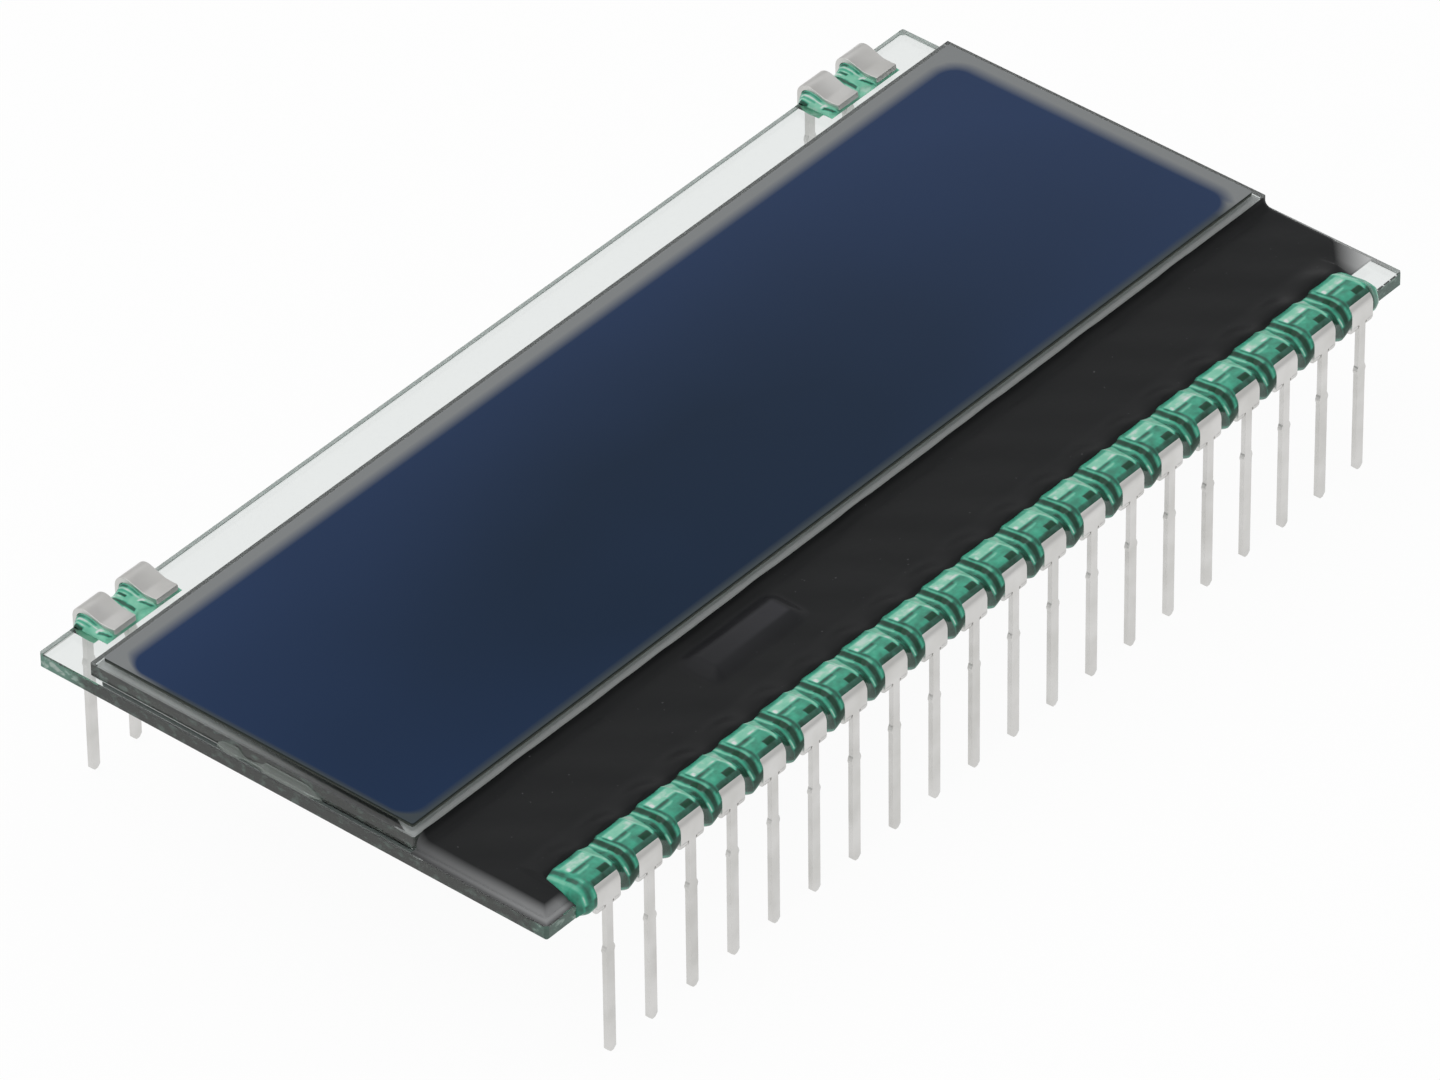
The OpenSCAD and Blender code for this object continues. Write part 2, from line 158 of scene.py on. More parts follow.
def sodaLimeGlass():
    material, tree, output, place = newMaterial("floatedSodaLimeGlass")
    parts = addNode(tree, "SeparateXYZ", {"Vector": place}).node.outputs
    normal = addNode(tree, "NewGeometry", [], "Normal")
    facing = addNode(tree, "SeparateXYZ", {"Vector": normal}).node.outputs
    upright = addNode(tree, "Math", {"operation": "ABSOLUTE", 0: facing["Z"]})
    edge = addNode(tree, "MapRange", [upright, 0.3, 0.75, 1.0, 0.0])
    tall = addNode(tree, "Mapping", {"Vector": place, "Scale": (1.0, 1.0, 1.6)})
    chips = addNode(tree, "TexNoise", {
        "Vector": tall, "Scale": 1 / (glass["chipMm"] * mm), "Detail": 4.0, "Roughness": 0.55})
    side = carrier["y"] * mm
    toRear = addNode(tree, "MapRange", [parts["Y"], side - 2.6 * mm, side - 1.6 * mm])
    toFront = addNode(tree, "MapRange", [parts["Y"], 0.9 * mm - side, 0.4 * mm - side, 0.0, 0.45])
    corner = addNode(tree, "Math", {"operation": "MAXIMUM", 0: toRear, 1: toFront})
    uneven = addNode(tree, "MapRange", [chips, 0.3, 0.7, -0.12, 0.12])
    corner = addNode(tree, "Math", {"operation": "MULTIPLY_ADD", 0: corner, 1: 0.9, 2: uneven})
    glints = addNode(tree, "MapRange", [chips, 0.52, 0.62])
    glints = addNode(tree, "Math", {"operation": "MULTIPLY", 0: corner, 1: glints})
    behind = addNode(tree, "Math", {"operation": "MAXIMUM", 0: facing["X"], 1: facing["Y"]})
    behind = addNode(tree, "MapRange", [behind, 0.4, 0.7])
    # Edges: dark, greener near the corners, with painted glints at the chips and painted light on the rear
    # and right edges
    colour = glass["edgeDark"]
    for share, tone in ((corner, "edgeGreen"), (glints, "chipGlint"), (behind, "rearEdgeLight")):
        colour = addNode(tree, "Mix", {"data_type": "RGBA", 0: share, 6: colour, 7: glass[tone]}, 2)
    colour = addNode(tree, "Mix", {"data_type": "RGBA", 0: edge, 6: glass["tint"], 7: colour}, 2)
    rough = addNode(tree, "MapRange", [edge, 0.0, 1.0, 0.0, glass["edgeRoughness"]])
    clear = addNode(tree, "MapRange", [edge, 0.0, 1.0, 1.0, glass["edgeClear"]])
    snapped = addNode(tree, "MapRange", [edge, 0.0, 1.0, 0.0, 0.4])
    relief = addNode(tree, "Bump", {
        "Height": chips, "Distance": glass["chipRelief"] * mm, "Strength": snapped})
    shader = addNode(tree, "BsdfPrincipled", {
        "Base Color": colour, "Roughness": rough, "IOR": 1.52, "Transmission Weight": clear,
        "Normal": relief, "Specular IOR Level": 0.3})
    lampsPass(tree, output, shader, glass["pane"])
    return material


# Iodine-dyed stretched film under a matte hard coat. The cell below it is painted on it as colour: the
# resting crystal deep blue, lighter away from a point a little left of and in front of the middle, and the
# seal round it grey, lighter toward the rear and the right
film = {"near": "#142840", "far": "#22385C", "seal": "#434B50", "sealFar": "#86898A", "edge": "#5A5F59",
        "lip": "#2F3533", "pane": "#D8D8D8", "grainMm": 0.06, "cloudMm": 8.0, "deepest": (-4, -2),
        "spreadMm": (28, 12)}
window = {"x0": -26.55, "x1": 25.65, "y0": -5.62, "y1": 9.35, "radius": 0.9,
          "soft": {"left": 0.2, "right": 0.65, "front": 0.35, "rear": 0.6}}


def outsideOf(tree, place, x0, x1, y0, y1, radius):
    # Distance in metres to a rounded rectangle, less than nothing inside it
    middle = [(x0 + x1) / 2 * mm, (y0 + y1) / 2 * mm, 0]
    half = [(x1 - x0) / 2 * mm - radius * mm, (y1 - y0) / 2 * mm - radius * mm, 1]
    moved = addNode(tree, "VectorMath", {"operation": "SUBTRACT", 0: place, 1: middle})
    flat = addNode(tree, "VectorMath", {"operation": "MULTIPLY", 0: moved, 1: (1, 1, 0)})
    size = addNode(tree, "VectorMath", {"operation": "ABSOLUTE", 0: flat})
    over = addNode(tree, "VectorMath", {"operation": "SUBTRACT", 0: size, 1: half})
    over = addNode(tree, "VectorMath", {"operation": "MAXIMUM", 0: over, 1: (0, 0, 0)})
    span = addNode(tree, "VectorMath", {"operation": "LENGTH", 0: over}, "Value")
    return addNode(tree, "Math", {"operation": "SUBTRACT", 0: span, 1: radius * mm})


def polarizerFilm():
    material, tree, output, place = newMaterial("hardCoatedPolarizerFilm")
    parts = addNode(tree, "SeparateXYZ", {"Vector": place}).node.outputs
    (deepX, deepY), (spreadX, spreadY) = film["deepest"], film["spreadMm"]
    spread = addNode(tree, "VectorMath", {"operation": "SUBTRACT", 0: place, 1: (deepX * mm, deepY * mm, 0)})
    spread = addNode(tree, "VectorMath", {
        "operation": "MULTIPLY", 0: spread, 1: (1 / (spreadX * mm), 1 / (spreadY * mm), 0)})
    spread = addNode(tree, "VectorMath", {"operation": "LENGTH", 0: spread}, "Value")
    spread = addNode(tree, "MapRange", [spread, 0.35, 1.2, -0.15, 0.85])
    cloud, grain = [addNode(tree, "TexNoise", {
        "Vector": place, "Scale": 1 / (size * mm), "Detail": detail, "Roughness": 0.55})
        for size, detail in ((film["cloudMm"], 1.0), (film["grainMm"], 3.0))]
    share = addNode(tree, "Math", {"operation": "MULTIPLY_ADD", 0: cloud, 1: 0.3, 2: spread})
    blue = addNode(tree, "Mix", {"data_type": "RGBA", 0: share, 6: film["near"], 7: film["far"]}, 2)

    # The window ends in a blurred band, whose width differs from side to side: wider at the rear and right,
    # it paints the seal's shadow and its reflection on the rear plate
    away = outsideOf(tree, place, window["x0"], window["x1"], window["y0"], window["y1"], window["radius"])
    soft = {side: width * mm for side, width in window["soft"].items()}
    width = addNode(tree, "MapRange", [parts["Y"], -mm, mm, soft["front"], soft["rear"]])
    width = addNode(tree, "MapRange", [
        parts["X"], window["x0"] * mm, (window["x0"] + 0.6) * mm, soft["left"], width])
    width = addNode(tree, "MapRange", [
        parts["X"], (window["x1"] - 0.2) * mm, window["x1"] * mm, width, soft["right"]])
    band = addNode(tree, "Math", {"operation": "DIVIDE", "use_clamp": True, 0: away, 1: width})
    rear = addNode(tree, "MapRange", [parts["Y"], 7 * mm, 9.3 * mm])
    right = addNode(tree, "MapRange", [parts["X"], 24.5 * mm, 25.8 * mm])
    far = addNode(tree, "Math", {"operation": "MAXIMUM", 0: rear, 1: right})
    seal = addNode(tree, "Mix", {"data_type": "RGBA", 0: far, 6: film["seal"], 7: film["sealFar"]}, 2)
    colour = addNode(tree, "Mix", {"data_type": "RGBA", 0: band, 6: blue, 7: seal}, 2)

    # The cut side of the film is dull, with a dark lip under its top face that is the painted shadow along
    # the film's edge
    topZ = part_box("front_polarizer")[1][2]
    lip = addNode(tree, "MapRange", [parts["Z"], topZ - 0.14 * mm, topZ - 0.06 * mm])
    cut = addNode(tree, "Mix", {"data_type": "RGBA", 0: lip, 6: film["edge"], 7: film["lip"]}, 2)
    top = addNode(tree, "MapRange", [parts["Z"], topZ - 0.03 * mm, topZ - 0.01 * mm])
    colour = addNode(tree, "Mix", {"data_type": "RGBA", 0: top, 6: cut, 7: colour}, 2)
    grain = addNode(tree, "Bump", {"Height": grain, "Distance": 0.0006 * mm, "Strength": 0.5})
    rough = addNode(tree, "MapRange", [cloud, 0.3, 0.7, 0.2, 0.26])
    shader = addNode(tree, "BsdfPrincipled", {
        "Base Color": colour, "Roughness": rough, "IOR": 1.48, "Normal": grain, "Specular IOR Level": 0.1})
    lampsPass(tree, output, shader, film["pane"])
    return material


def grainedFinish(name, look):
    # One fine noise mixes two colours, and raises a relief where the finish has one
    look = {"detail": 3.0, "between": (0.0, 1.0), "stretch": (1.0, 1.0, 1.0), "relief": 0.0, **look}
    material, tree, output, place = newMaterial(name)
    drawn = addNode(tree, "Mapping", {"Vector": place, "Scale": look["stretch"]})
    grain = addNode(tree, "TexNoise", {
        "Vector": drawn, "Scale": 1 / (look["grainMm"] * mm), "Detail": look["detail"], "Roughness": 0.55})
    share = addNode(tree, "MapRange", [grain, *look["between"]])
    colour = addNode(tree, "Mix", {"data_type": "RGBA", 0: share, 6: look["base"], 7: look["grain"]}, 2)
    surface = {"Base Color": colour, **look["surface"]}
    if look["relief"]:
        surface["Normal"] = addNode(tree, "Bump", {"Height": grain, "Distance": look["relief"] * mm})
    shader = addNode(tree, "BsdfPrincipled", surface)
    tree.links.new(shader, output.inputs["Surface"])
    return material


# Rear polarizer, laminated with a matte diffusing back: a dull grey-green sheet
rearFilm = {"base": "#4A5452", "grain": "#59625F", "grainMm": 0.08, "relief": 0.002,
            "surface": {"Roughness": 0.4, "Specular IOR Level": 0.3}}

# Screen-printed epoxy, cured between the plates: a flat pale grey line with fine filler
sealant = {"base": "#EFF1F1", "grain": "#DFE2E2", "grainMm": 0.12,
           "surface": {"Roughness": 0.6, "Specular IOR Level": 0.1}}

# Silicon die, ground on its back: a dark grey mirror with fine grinding lines along the chip
die = {"base": "#4A4B50", "grain": "#62646A", "grainMm": 0.04, "stretch": (0.05, 1.0, 1.0),
       "surface": {"Metallic": 0.6, "Roughness": 0.25}}

# Epoxy film filled with gold-coated spheres, pressed under the die: straw coloured with a fine sparkle
bondFilm = {"base": "#B7AB82", "grain": "#7C6A3A", "grainMm": 0.03, "detail": 1.0, "between": (0.6, 0.7),
            "surface": {"Roughness": 0.5}}


# Twisted liquid crystal between rubbed plates, seen unpowered: deep blue, lighter toward the rear and left
crystal = {"near": "#1D3A6B", "far": "#2A4F86", "cloudMm": 9.0}


def restingCrystal():
    material, tree, output, place = newMaterial("restingLiquidCrystal")
    parts = addNode(tree, "SeparateXYZ", {"Vector": place}).node.outputs
    tilt = addNode(tree, "Math", {"operation": "MULTIPLY_ADD", 0: parts["X"], 1: -0.35, 2: parts["Y"]})
    share = addNode(tree, "MapRange", [tilt, -14 * mm, 18 * mm])
    cloud = addNode(tree, "TexNoise", {
        "Vector": place, "Scale": 1 / (crystal["cloudMm"] * mm), "Detail": 1.0, "Roughness": 0.55})
    share = addNode(tree, "Math", {"operation": "MULTIPLY_ADD", 0: cloud, 1: 0.25, 2: share})
    colour = addNode(tree, "Mix", {"data_type": "RGBA", 0: share, 6: crystal["near"], 7: crystal["far"]}, 2)
    shader = addNode(tree, "BsdfPrincipled", {
        "Base Color": colour, "Roughness": 0.6, "Specular IOR Level": 0.0})
    tree.links.new(shader, output.inputs["Surface"])
    return material


# One-part silicone, flowed over the tracks and cured: black with a soft skin and a little dust. It thins to
# grey at the right end. A painted sheen runs along the left rim, and the worn tone over the chip is painted
# light: a faint lift on the mound's slopes and a painted highlight on its top, palest at its right end. The
# noises are the size in millimetres and the detail of its cloud, specks, grain and skin
coating = {"base": "#1B1C1D", "dust": "#242526", "speck": "#6A6B6D", "thin": "#C4C5C5", "sheen": "#9C9D9E",
           "worn": "#38383C", "chip": (-11.3, -6.6, -8.6, -7.6), "rimX": 27.34, "rimY": 13.45,
           "thinBand": (10.1, 12.0), "thinRight": (25.3, 26.3),
           "noises": ((3.5, 4.0), (0.22, 1.0), (0.05, 3.0), (1.6, 2.0))}


def flowedSilicone():
    material, tree, output, place = newMaterial("flowedBlackSilicone")
    parts = addNode(tree, "SeparateXYZ", {"Vector": place}).node.outputs
    cloud, specks, grain, skin = [addNode(tree, "TexNoise", {
        "Vector": place, "Scale": 1 / (size * mm), "Detail": detail, "Roughness": 0.55})
        for size, detail in coating["noises"]]
    dust = addNode(tree, "MapRange", [cloud, 0.35, 0.75, 0.0, 0.4])
    specks = addNode(tree, "MapRange", [specks, 0.77, 0.83, 0.0, 0.5])

    # Thin corner at the right end, past a slanting line
    (thin0, thin1), (right0, right1) = coating["thinBand"], coating["thinRight"]
    ebb = addNode(tree, "Math", {"operation": "MULTIPLY_ADD", 0: parts["X"], 1: 0.9, 2: -27 * 0.9 * mm})
    ebb = addNode(tree, "Math", {"operation": "SUBTRACT", 0: ebb, 1: parts["Y"]})
    ebb = addNode(tree, "MapRange", [ebb, thin0 * mm, thin1 * mm])
    right = addNode(tree, "MapRange", [parts["X"], right0 * mm, right1 * mm])
    thin = addNode(tree, "Math", {"operation": "MULTIPLY", 0: ebb, 1: right})

    # Sheen along the left rim, strongest near the front corner
    left = addNode(tree, "Math", {"operation": "ADD", 0: parts["X"], 1: coating["rimX"] * mm})
    near = addNode(tree, "Math", {"operation": "ADD", 0: parts["Y"], 1: coating["rimY"] * mm})
    rim = addNode(tree, "Math", {"operation": "MINIMUM", 0: left, 1: near})
    swell = addNode(tree, "MapRange", [rim, 0.0, 0.16 * mm, 0.45, 1.0])
    fade = addNode(tree, "MapRange", [rim, 0.3 * mm, 0.8 * mm, 1.0, 0.0])
    rim = addNode(tree, "Math", {"operation": "MINIMUM", 0: swell, 1: fade})
    strength = addNode(tree, "MapRange", [near, 0.6 * mm, 6.5 * mm, 0.85, 0.4])
    rim = addNode(tree, "Math", {"operation": "MULTIPLY", 0: rim, 1: strength})
    ends = addNode(tree, "MapRange", [left, 1.2 * mm, 1.9 * mm, 1.0, 0.0])
    rim = addNode(tree, "Math", {"operation": "MULTIPLY", 0: rim, 1: ends})

    # Painted light over the chip: a faint lift on the slopes of the mound, and a painted highlight on its
    # flat top, palest at its right end
    offChip = outsideOf(tree, place, *coating["chip"], 0.1)
    slopeLight = addNode(tree, "MapRange", [offChip, 0.2 * mm, 0.9 * mm, 0.3, 0.0])
    flat = addNode(tree, "MapRange", [offChip, -0.12 * mm, 0.05 * mm, 1.0, 0.0])
    paler = addNode(tree, "MapRange", [parts["X"], -11 * mm, -6.8 * mm, 0.05, 0.9])
    flat = addNode(tree, "Math", {"operation": "MULTIPLY", 0: flat, 1: paler})

    # The sheen and the worn tone over the chip are painted light; dust and specks are the silicone's own
    colour = coating["base"]
    for share, tone in ((dust, "dust"), (specks, "speck"), (thin, "thin"), (rim, "sheen"), (slopeLight, "worn"),
                        (flat, "worn")):
        colour = addNode(tree, "Mix", {"data_type": "RGBA", 0: share, 6: colour, 7: coating[tone]}, 2)
    rough = addNode(tree, "MapRange", [cloud, 0.3, 0.7, 0.36, 0.5])
    grain = addNode(tree, "Bump", {"Height": grain, "Distance": 0.004 * mm, "Strength": 0.35})
    skin = addNode(tree, "Bump", {"Height": skin, "Distance": 0.03 * mm, "Normal": grain})
    shader = addNode(tree, "BsdfPrincipled", {
        "Base Color": colour, "Roughness": rough, "Normal": skin, "Specular IOR Level": 0.13})
    tree.links.new(shader, output.inputs["Surface"])
    return material


# Ultraviolet-cured acrylic, dispensed by needle: wet sea green. Its depth and the light in it, as painted
# shade in grooves and shadowed hollows, painted highlights and painted reflections, are given as a shade
# from 0, deep, to 1, glint, that the bead carries
resin = {"depthAndLightStops": ((0.0, "#04462D"), (0.2, "#2D5042"), (0.35, "#3F7967"), (0.55, "#4EBE9E"),
                    (0.7, "#7AD7B8"), (0.85, "#9EE8CB"), (1.0, "#FFFFFF")),
         "pane": "#D8F2EC", "absorb": "#55E0CC", "perMetre": 1500.0, "mottleMm": 0.5, "mottle": 0.16,
         "relief": 0.012}


def curedResin():
    material, tree, output, place = newMaterial("curedAcrylicResin")
    mottle = addNode(tree, "TexNoise", {
        "Vector": place, "Scale": 1 / (resin["mottleMm"] * mm), "Detail": 2.0, "Roughness": 0.55})
    relief = addNode(tree, "Bump", {"Height": mottle, "Distance": resin["relief"] * mm, "Strength": 1.0})
    uneven = addNode(tree, "MapRange", [mottle, 0.3, 0.7, -resin["mottle"] / 2, resin["mottle"] / 2])
    shade = addNode(tree, "Attribute", {"attribute_name": "shade"}, "Fac")
    shade = addNode(tree, "Math", {"operation": "ADD", 0: shade, 1: uneven})
    colour = addNode(tree, "ValToRGB", {"Fac": shade, "stops": resin["depthAndLightStops"]})
    shader = addNode(tree, "BsdfPrincipled", {
        "Base Color": colour, "Roughness": 0.08, "IOR": 1.48, "Normal": relief,
        "Transmission Weight": 0.25, "Specular IOR Level": 0.2})
    lampsPass(tree, output, shader, resin["pane"])
    depth = addNode(tree, "VolumeAbsorption", {"Color": resin["absorb"], "Density": resin["perMetre"]})
    tree.links.new(depth, output.inputs["Volume"])
    return material


# Port resin: the same kind of acrylic without the dye, brushed on and cured, a little milky
portResin = {"base": "#B9C2BC", "pane": "#C8D0CA", "waveMm": 0.4, "relief": 0.01}


def clearResin():
    material, tree, output, place = newMaterial("clearPortResin")
    wave = addNode(tree, "TexNoise", {
        "Vector": place, "Scale": 1 / (portResin["waveMm"] * mm), "Detail": 3.0, "Roughness": 0.55})
    relief = addNode(tree, "Bump", {"Height": wave, "Distance": portResin["relief"] * mm, "Strength": 1.0})
    shader = addNode(tree, "BsdfPrincipled", {
        "Base Color": portResin["base"], "Roughness": 0.12, "IOR": 1.48, "Normal": relief,
        "Transmission Weight": 0.75})
    lampsPass(tree, output, shader, portResin["pane"])
    return material


# Matte tin over phosphor bronze, stamped from strip: soft silver with draw lines along the lead
tin = {"base": "#D7D6D4", "worn": "#D0CFCC", "patchMm": 1.6, "grainMm": 0.05, "drawMm": 0.03,
       "relief": 0.003}


def matteTin():
    material, tree, output, place = newMaterial("matteTinPlatedBronze")
    drawn = addNode(tree, "Mapping", {"Vector": place, "Scale": (1.0, 1.0, 0.08)})
    patches, lines, grain = [addNode(tree, "TexNoise", {
        "Vector": where, "Scale": 1 / (size * mm), "Detail": detail, "Roughness": 0.55})
        for where, size, detail in (
            (place, tin["patchMm"], 2.0), (drawn, tin["drawMm"], 2.0), (place, tin["grainMm"], 3.0))]
    share = addNode(tree, "MapRange", [patches, 0.35, 0.7])
    colour = addNode(tree, "Mix", {"data_type": "RGBA", 0: share, 6: tin["base"], 7: tin["worn"]}, 2)
    relief = addNode(tree, "Math", {"operation": "ADD", 0: lines, 1: grain})
    relief = addNode(tree, "Bump", {"Height": relief, "Distance": tin["relief"] * mm, "Strength": 0.5})
    rough = addNode(tree, "MapRange", [patches, 0.3, 0.7, 0.34, 0.46])
    shader = addNode(tree, "BsdfPrincipled", {
        "Base Color": colour, "Metallic": 1.0, "Roughness": rough, "Normal": relief})
    tree.links.new(shader, output.inputs["Surface"])
    return material


glassMaterial = sodaLimeGlass()
filmMaterial = polarizerFilm()
rearFilmMaterial = grainedFinish("matteRearPolarizer", rearFilm)
crystalMaterial = restingCrystal()
sealMaterial = grainedFinish("screenPrintedEpoxySeal", sealant)
coatMaterial = flowedSilicone()
resinMaterial = curedResin()
portMaterial = clearResin()
tinMaterial = matteTin()
dieMaterial = grainedFinish("groundSiliconDie", die)
bondMaterial = grainedFinish("particleFilledBondingFilm", bondFilm)
print("materials made")

# The glass plates keep their solids, which carry the form, and take their finish here
for node in ("carrier_glass", "front_glass"):
    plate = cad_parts[node]
    plate.data.materials.clear()
    plate.data.materials.append(glassMaterial)

# Flat layers of the cell: how far the window and the seal stay inside the front plate, and their corners
cell = {"sideInset": 0.95, "frontInset": 1.1, "rearInset": 0.75, "sealInset": 0.04, "sealRadius": 0.15,
        "filmRadius": 0.1, "filmSoften": 0.02}


def roundedOutline(x0, x1, y0, y1, radius, steps=8):
    # Rectangle whose corners are quarter circles, counter-clockwise from the lower left
    turn = np.linspace(0, np.pi / 2, steps + 1)
    corners = ((x0 + radius, y0 + radius, np.pi), (x1 - radius, y0 + radius, 1.5 * np.pi),
               (x1 - radius, y1 - radius, 0), (x0 + radius, y1 - radius, np.pi / 2))
    return np.concatenate([np.stack([cx + radius * np.cos(a + turn), cy + radius * np.sin(a + turn)], -1)
                           for cx, cy, a in corners])


def layer(outline, z0, z1, soften):
    # The outline carried from z0 to z1, drawn in by a quarter circle of radius soften at both faces
    turn = np.linspace(0, np.pi / 2, 4)
    inset = soften * np.concatenate([1 - np.sin(turn), 1 - np.cos(turn)])
    height = np.concatenate([z0 + soften * (1 - np.cos(turn)), z1 - soften * (1 - np.sin(turn))])
    middle = (outline.max(0) + outline.min(0)) / 2
    half = (outline.max(0) - outline.min(0)) / 2
    rows = middle + (outline - middle)[None] * (1 - inset[:, None, None] / half)
    return np.concatenate([rows, np.broadcast_to(height[:, None, None], rows.shape[:2] + (1,))], -1)


def nodeOutline(node, radius, grow=0.0):
    # The outline of a solid's box, let out by grow
    (x0, y0, _), (x1, y1, _) = boxOf(node)
    return roundedOutline(x0 - grow, x1 + grow, y0 - grow, y1 + grow, radius)


windowOutline = roundedOutline(-front["x"] + cell["sideInset"], front["x"] - cell["sideInset"],
                               front["y0"] + cell["frontInset"], front["y1"] - cell["rearInset"],
                               window["radius"])
makePiece("crystalWindow", [layer(windowOutline, deck - contact, front["under"] + contact, 0.0)],
          crystalMaterial, ["liquid_crystal"])


def ringBetween(outer, inner, z0, z1):
    # Rectangular section carried round between two outlines of as many points
    lift = [np.full((len(outer), 1), z) for z in (z0, z1)]
    return np.stack([np.hstack([outer, lift[0]]), np.hstack([inner, lift[0]]),
                     np.hstack([inner, lift[1]]), np.hstack([outer, lift[1]])], 1)


sealOuter = nodeOutline("front_glass", cell["sealRadius"], -cell["sealInset"])
sealRing = ringBetween(sealOuter, windowOutline, deck - contact / 2, front["under"] + contact / 2)
sealRing = np.concatenate([sealRing, sealRing[:1]])
makePiece("sealRing", [sealRing], sealMaterial, ["perimeter_seal"])

filmTop, filmUnder = boxOf("front_polarizer")[1][2], boxOf("rear_polarizer")[0][2]
for name, node, finish, z0, z1 in (
        ("frontFilm", "front_polarizer", filmMaterial, front["top"] - contact / 3, filmTop),
        ("rearFilm", "rear_polarizer", rearFilmMaterial, filmUnder, carrier["under"] + contact / 3)):
    outline = nodeOutline(node, cell["filmRadius"])
    makePiece(name, [layer(outline, z0, z1, cell["filmSoften"])], finish, [node])
print("cell layers made")

# Driver chip and its film, seen from below through the glass
chip = {"filmRadius": 0.1, "radius": 0.02, "soften": 0.01}
chipFilm = layer(nodeOutline("chip_bond_film", chip["filmRadius"]), deck - contact,
                 boxOf("chip_bond_film")[1][2], 0.0)
makePiece("bondingFilm", [chipFilm], bondMaterial, ["chip_bond_film"])
chipBody = layer(nodeOutline("driver_chip", chip["radius"]), boxOf("driver_chip")[0][2],
                 boxOf("driver_chip")[1][2], chip["soften"])
makePiece("driverDie", [chipBody], dieMaterial, ["driver_chip"])
print("driver chip made")

# Black coating. Its lip and its lap differ over a clip and over the gap between two
coat = {"thick": 0.2, "fillet": 0.45, "left": 27.37, "right": 27.2, "film": 0.03, "shoulder": 0.5,
        "shoulderIn": 0.32, "cornerX": 25.5, "cornerBack": 0.04, "thinFrom": 10.05, "thinY": -12.05,
        "thinX": (25.4, 26.0), "thinShare": 0.85, "mound": 0.53, "moundEdge": 0.75, "wave": 0.02,
        "lapClip": 0.6, "lapGap": 0.36, "lapFrom": 3.2, "lapTo": 1.98, "edgeBack": 1.62, "lipClip": 0.3,
        "lipGap": 0.45, "chipLift": 0.035, "least": 0.003}


def quarterRise(distance, reach):
    # Quarter circle from 0 at distance 0 to 1 at distance reach
    return np.sqrt(np.clip(1 - (1 - np.clip(distance / reach, 0, 1)) ** 2, 0, 1))


def coatSurface():
    # Height over the glass = thin film to the free edges, plus the skin on a rounded shoulder, plus the
    # quarter-circle climb up the front glass, plus a flat-topped mound over the chip, plus a lap over the
    # toe of each clip; the rows run across the ledge from the bead
    beadEnd = boxOf("front_adhesive")[1][0]
    x0, x1 = -coat["left"], coat["right"]
    x = np.unique(np.concatenate([np.linspace(x0, x1, 800), np.linspace(x0, x0 + 1.2, 40),
                                  np.linspace(x1 - 1.2, x1, 30)]))
    atClip = 0.5 - 0.5 * np.cos(2 * np.pi * x / pitch)
    edgeY = np.full(len(x), coat["edgeBack"] - carrier["y"])
    leftCorner = smoothStep(-x, coat["cornerX"] - 0.1, coat["cornerX"] + 0.15)
    rightCorner = smoothStep(x, beadEnd - 0.1, beadEnd + 0.15)
    edgeY = edgeY + (coat["cornerBack"] - carrier["y"] - edgeY) * leftCorner
    edgeY = edgeY + (coat["thinY"] - edgeY) * rightCorner
    t = np.concatenate([np.linspace(0, 0.16, 20), np.linspace(0.16, 0.9, 26)[1:],
                        np.linspace(0.9, 1, 12)[1:]])
    y = edgeY[:, None] + (front["y0"] + contact - edgeY[:, None]) * t
    x = np.broadcast_to(x[:, None], y.shape)
    fromEdge = y - edgeY[:, None]
    roll = quarterRise(x - x0 - coat["shoulderIn"], coat["shoulder"]) * quarterRise(x1 - x, 0.3)
    inset = (coat["shoulderIn"] * leftCorner)[:, None]
    lipReach = (coat["lipGap"] + (coat["lipClip"] - coat["lipGap"]) * atClip)[:, None]
    lip = quarterRise(fromEdge - inset, lipReach)
    climb = np.clip(coat["fillet"] - (front["y0"] - y), 0, coat["fillet"])
    climb = coat["fillet"] - np.sqrt(np.clip(coat["fillet"] ** 2 - climb ** 2, 0, None))
    wave = np.sin(x * 0.9 + 1.1 * np.sin(y * 0.8)) + 0.7 * np.sin(x * 2.1 + y * 1.7)
    ebb = smoothStep(0.9 * (x - 27) - y, coat["thinFrom"], coat["thinFrom"] + 0.25)
    ebb = ebb * smoothStep(x, *coat["thinX"])
    skin = (coat["thick"] + coat["wave"] * wave * lip) * (1 - coat["thinShare"] * ebb)
    (left, near, _), (right, far, _) = boxOf("driver_chip")
    slope = coat["moundEdge"]
    overX = smoothStep(x, left - slope, left) * smoothStep(-x, -right - slope, -right)
    overY = smoothStep(y, near - slope, near) * smoothStep(-y, -far - slope, -far)
    top = skin + climb
    top = top + (np.maximum(top, coat["mound"]) - top) * overX * overY
    lapped = smoothStep(-(y + carrier["y"]), -coat["lapFrom"], -coat["lapTo"])
    lapped = lapped * (1 - leftCorner - rightCorner)[:, None]
    lap = (coat["lapGap"] + (coat["lapClip"] - coat["lapGap"]) * atClip)[:, None]
    top = top + np.maximum(lap - top, 0) * lapped
    top = coat["film"] * quarterRise(np.minimum(x - x0, fromEdge), 0.05) + top * roll * lip
    # The underside is lifted over the chip's film
    (left, near, _), (right, far, _) = boxOf("chip_bond_film")
    inside = (x > left - 0.02) & (x < right + 0.02) & (y > near - 0.02) & (y < far + 0.02)
    under = np.where(inside, coat["chipLift"], -contact / 2)
    upper = np.stack([x, y, deck + top], -1)
    lower = np.stack([x, y, deck + np.minimum(under, top - coat["least"])], -1)
    return np.concatenate([upper, lower[:, ::-2]], 1)


makePiece("ledgeCoat", [coatSurface()], coatMaterial, ["ledge_coating"])
print("ledge coating made")

